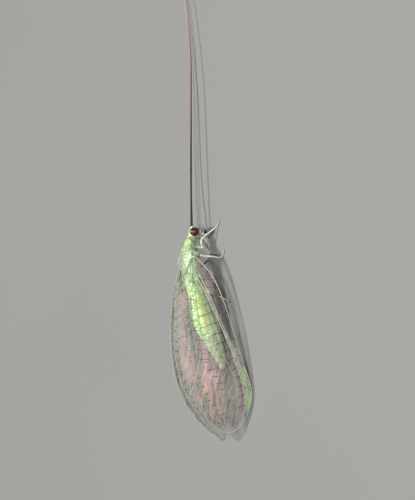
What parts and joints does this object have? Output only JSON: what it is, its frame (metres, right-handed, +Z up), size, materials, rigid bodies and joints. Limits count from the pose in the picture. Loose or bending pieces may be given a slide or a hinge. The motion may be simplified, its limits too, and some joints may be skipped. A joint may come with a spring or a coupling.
{
  "type": "green lacewing",
  "caption": "Still life-size green lacewing at rest, wings folded roof-like over the abdomen, long antennae held forward.",
  "frame": {"origin": "on the ground, at the middle of the animal's bounding box", "axes": "+X from the wing tips towards the antennae, +Y towards the animal's left, +Z up from the surface it stands on"},
  "size_m": [0.0332, 0.0068, 0.0047],
  "materials": {
    "abdomen": "lime green segmented cuticle, yellow along the back, paler towards the tip",
    "antenna": "fine dark bristly segments, fading to pale brown towards the tip",
    "eye": "dark maroon, finely facetted, glossy",
    "wing": "clear iridescent membrane with pale green and dark veins",
    "head": "smooth yellow green cuticle",
    "leg": "pale translucent cream, tarsi light brown",
    "thorax": "pale mint green with white powdery down",
    "mouthparts": "pale brown, translucent",
    "prothorax": "bright yellow green cuticle, bluish green on the flanks"
  },
  "bodies": {
    "root": {"abdomen": "abdomen", "antenna_left": "antenna", "antenna_right": "antenna", "eye_left": "eye", "eye_right": "eye", "forewing_left": "wing", "forewing_right": "wing", "head": "head", "hindwing_left": "wing", "hindwing_right": "wing", "leg_front_left": "leg", "leg_front_right": "leg", "leg_hind_left": "leg", "leg_hind_right": "leg", "leg_mid_left": "leg", "leg_mid_right": "leg", "mesothorax": "thorax", "metathorax": "thorax", "mouthparts": "mouthparts", "prothorax": "prothorax"}
  },
  "joints": []
}
